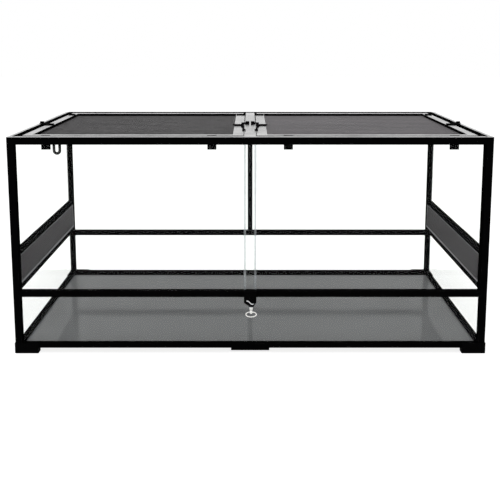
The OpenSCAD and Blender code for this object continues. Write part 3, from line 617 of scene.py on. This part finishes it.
# Black cove where the floor sheet meets the rear rail, as painted reflection and shade of the rear rail
# on the floor: a cove whose height falls as (1 - t)^2 from its height to its lip. Sizes are in mm
floorShadeCove = {"width": 18, "height": 5, "lip": 0.3, "clear": 0.02, "endGap": 1, "steps": 7}
low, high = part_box("floor_panel")
t = np.linspace(0, 1, floorShadeCove["steps"])
rise = floorShadeCove["lip"] + (floorShadeCove["height"] - floorShadeCove["lip"]) * (1 - t) ** 2
cove = np.column_stack([high.y - floorShadeCove["width"] * t * mm, high.z + rise * mm])
footZ = high.z + floorShadeCove["clear"] * mm
profile = np.vstack([cove, [(cove[-1, 0], footZ), (cove[0, 0], footZ)]])
points, faces = plate(profile, low.x + floorShadeCove["endGap"] * mm, high.x - floorShadeCove["endGap"] * mm)
shadeCove = shellPiece("floor_shade_cove", [(points[:, [2, 0, 1]], faces)], rubberAndPaintedShade, "frame", None,
                  smooth=False)
print("floor shade cove laid")

# Lock: case in the CAD node's outline with its face set back, a bright rim that curves over the face, a
# collar turned to a cone and a flat key. Sizes are in mm. The rim is x, z and the collar is radius, z.
# The key's bow and tab are rings of half width and half height, its two necks are x from the axis and z,
# and its blade has a half width and a half thickness
lock = {"ease": 1.0, "faceBack": 1.3,
        "rim": [(-9.2, 147.8), (-5.4, 147.4), (-2.2, 145.4), (0.4, 142), (3, 139.6), (6, 139.2),
                (8.6, 140.6)],
        "rimSet": 0.9, "rimDepth": 1.7, "rimWidth": 2.4,
        "collar": [(9.2, 136.4), (9.2, 134.5), (7.2, 131), (5.2, 129)],
        "keyThick": 2.4, "bow": (13.3, 6.8), "bowZ": 108.8, "bowBar": 2.6,
        "tab": (2.4, 2.4), "tabZ": 113.8, "tabBar": 2.4,
        "neck": [(1.0, 115.0), (2.4, 120.5), (4.0, 129.0)], "neckBar": 1.8,
        "bladeHalf": (2.6, 0.6), "bladeZ": (118, 145)}
low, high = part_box("lock_cylinder")
axis = (low + high) / 2
easedCopy("lock_case", lock["ease"], nylon, faceBackMm=lock["faceBack"])


# Turned shape about an upright axis: each profile point (r, z) becomes a ring of that radius
def turned(profile, centre, sides=40):
    turn = fullTurn(sides)
    rings = [np.column_stack([centre.x + r * mm * np.cos(turn), centre.y + r * mm * np.sin(turn),
                              np.full(sides, z * mm)]) for r, z in profile]
    i = np.arange(len(rings) - 1)[:, None] * sides
    k = np.arange(sides)[None]
    nextSide = (k + 1) % sides
    quads = np.stack([i + k, i + nextSide, i + sides + nextSide, i + sides + k], axis=2)
    caps = [list(range(sides)), [(len(rings) - 1) * sides + n for n in range(sides)][::-1]]
    return np.concatenate(rings), [list(f) for f in quads.reshape(-1, 4)] + caps


# Smooth curve along a few points: even steps on the straight lines between them, rounded by averaging
# each point with its neighbours as (before + 2 * itself + after) / 4
def smoothPath(points, count, rounds=6):
    points = np.asarray(points, float)
    run = np.concatenate([[0], np.cumsum(np.linalg.norm(np.diff(points, axis=0), axis=1))])
    steps = np.linspace(0, run[-1], count)
    curve = np.column_stack([np.interp(steps, run, points[:, k]) for k in range(points.shape[1])])
    ends = curve[[0, -1]].copy()
    for _ in range(rounds):
        curve[1:-1] = (curve[:-2] + 2 * curve[1:-1] + curve[2:]) / 4
    curve[[0, -1]] = ends
    return curve


# Points x, z in mm on the upright plane through the lock's axis, x from the axis
def onFace(x, z):
    return np.column_stack([axis.x + x * mm, np.full(len(x), axis.y), z * mm])


# Oval ring of the key, lying on that plane
def keyRing(halfWide, halfHigh, z, barMm, sides):
    turn = fullTurn(sides)
    return tube(onFace(halfWide * np.cos(turn), z + halfHigh * np.sin(turn)), (0, 1, 0),
                lock["keyThick"] * mm, barMm * mm, closed=True)


rimFlat = smoothPath(lock["rim"], count=25) * mm
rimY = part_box("lock_case")[0].y + lock["rimSet"] * mm
rimPath = np.column_stack([rimFlat[:, 0], np.full(len(rimFlat), rimY), rimFlat[:, 1]])
rim = tube(rimPath, (0, 1, 0), lock["rimDepth"] * mm, lock["rimWidth"] * mm, sides=10)
cylinderBody = nodes["lock_cylinder"]["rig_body"]
shellPiece("lock_rim", [rim], chrome, cylinderBody, "lock_cylinder")
shellPiece("lock_collar", [turned(lock["collar"], axis)], blackChrome, cylinderBody, "lock_cylinder")
bow = keyRing(*lock["bow"], lock["bowZ"], lock["bowBar"], sides=64)
tab = keyRing(*lock["tab"], lock["tabZ"], lock["tabBar"], sides=32)
line = smoothPath(lock["neck"], count=9)
necks = [tube(onFace(k * line[:, 0], line[:, 1]), (0, 1, 0), lock["keyThick"] * mm, lock["neckBar"] * mm,
              sides=10) for k in (-1, 1)]
halfWide, halfThick = (d * mm for d in lock["bladeHalf"])
blade = slab(axis.x - halfWide, axis.y - halfThick, axis.x + halfWide, axis.y + halfThick,
             *(z * mm for z in lock["bladeZ"]))
shellPiece("key_bow", [bow, tab, *necks, blade], nickel, nodes["key"]["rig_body"], "key")
print("lock and key made")

# Studio camera a little above the lids, tilted down by a few degrees. The lens shift does the rest.
# Lens and sensor are in mm, places in metres
camera = {"lens": 52.91, "sensor": 36, "shiftY": -0.224, "nearest": 0.05,
          "place": (-0.00032, -2.1035, 0.8172), "tilt": 7.99}
cam = bpy.data.objects.new("camera", bpy.data.cameras.new("camera"))
scene.collection.objects.link(cam)
scene.camera = cam
cam.data.lens = camera["lens"]
cam.data.sensor_width = camera["sensor"]
cam.data.shift_y = camera["shiftY"]
cam.data.clip_start = camera["nearest"]
cam.location = camera["place"]
cam.rotation_euler = (math.radians(90 - camera["tilt"]), 0, 0)
scene.view_settings.view_transform = "Standard"  # plain sRGB, so that white stays white

# Stage: strength of the world where it lights surfaces and where it is seen, and the floor's half width
# in metres, its paint where it is seen, the glow added to that, and its paint where it lights surfaces
stage = {"worldLight": 0.6, "worldSeen": 1.0,
         "floorReach": 12, "paint": 0.42, "glow": 0.82, "plain": 0.6}


# One for rays from the camera, direct, in gloss or through glass, and zero for those that light surfaces
def seenRay(tree):
    path = addNode(tree, "ShaderNodeLightPath")
    kinds = ("Camera", "Glossy", "Transmission")
    direct, gloss, through = (path.outputs[f"Is {kind} Ray"] for kind in kinds)
    seen = addNode(tree, "ShaderNodeMath", {0: direct, 1: gloss}, operation="MAXIMUM").outputs[0]
    return addNode(tree, "ShaderNodeMath", {0: seen, 1: through}, operation="MAXIMUM").outputs[0]


def grey(value):
    return (value, value, value, 1)


# White world where it is seen, and weaker light for surfaces
def makeWorld():
    world = bpy.data.worlds.new("studio")
    scene.world = world
    world.use_nodes = True
    tree = world.node_tree
    tree.nodes.clear()
    lit = addNode(tree, "ShaderNodeBackground", {"Color": grey(1), "Strength": stage["worldLight"]})
    white = addNode(tree, "ShaderNodeBackground", {"Color": grey(1), "Strength": stage["worldSeen"]})
    mixed = mixShaders(tree, seenRay(tree), lit, white)
    addNode(tree, "ShaderNodeOutputWorld", {"Surface": mixed.outputs[0]})


# Rectangular area lamp aimed at a point; places and sizes in metres, power in watts
def softLamp(name, place, aim, size, power):
    data = bpy.data.lights.new(name, "AREA")
    data.shape = "RECTANGLE"
    data.size, data.size_y = size
    data.energy = power
    lamp = bpy.data.objects.new(name, data)
    scene.collection.objects.link(lamp)
    lamp.location = place
    towards = np.array(aim) - np.array(place)
    lamp.rotation_mode = "QUATERNION"
    lamp.rotation_quaternion = Vector(towards).to_track_quat("-Z", "Y")
    return lamp


# Pale floor: it shows white where lit and keeps the object's soft shadow
def makeFloor():
    mesh = bpy.data.meshes.new("floor")
    reach = stage["floorReach"]
    corners = [(-reach, -reach, 0), (reach, -reach, 0), (reach, reach, 0), (-reach, reach, 0)]
    mesh.from_pydata(corners, [], [(0, 1, 2, 3)])
    floor = bpy.data.objects.new("floor", mesh)
    scene.collection.objects.link(floor)
    made, tree = newMaterial("studio floor")
    paint = addNode(tree, "ShaderNodeBsdfDiffuse", {"Color": grey(stage["paint"])})
    glow = addNode(tree, "ShaderNodeEmission", {"Color": grey(1), "Strength": stage["glow"]})
    lifted = addNode(tree, "ShaderNodeAddShader", {0: paint.outputs[0], 1: glow.outputs[0]})
    plain = addNode(tree, "ShaderNodeBsdfDiffuse", {"Color": grey(stage["plain"])})
    finishMaterial(tree, mixShaders(tree, seenRay(tree), plain, lifted).outputs[0])
    floor.data.materials.append(made)


makeWorld()
softLamp("top lamp", place=(0, -0.4, 3.2), aim=(0, 0, 0.3), size=(3.0, 2.4), power=60)
rearLamp = softLamp("rear lamp", place=(0, 5.0, 1.6), aim=(0, 0, 0.5), size=(6.0, 1.6), power=26)
rearLamp.visible_camera = False  # its bright face isn't seen, nor through the glass
rearLamp.visible_transmission = False
makeFloor()
print("stage set")
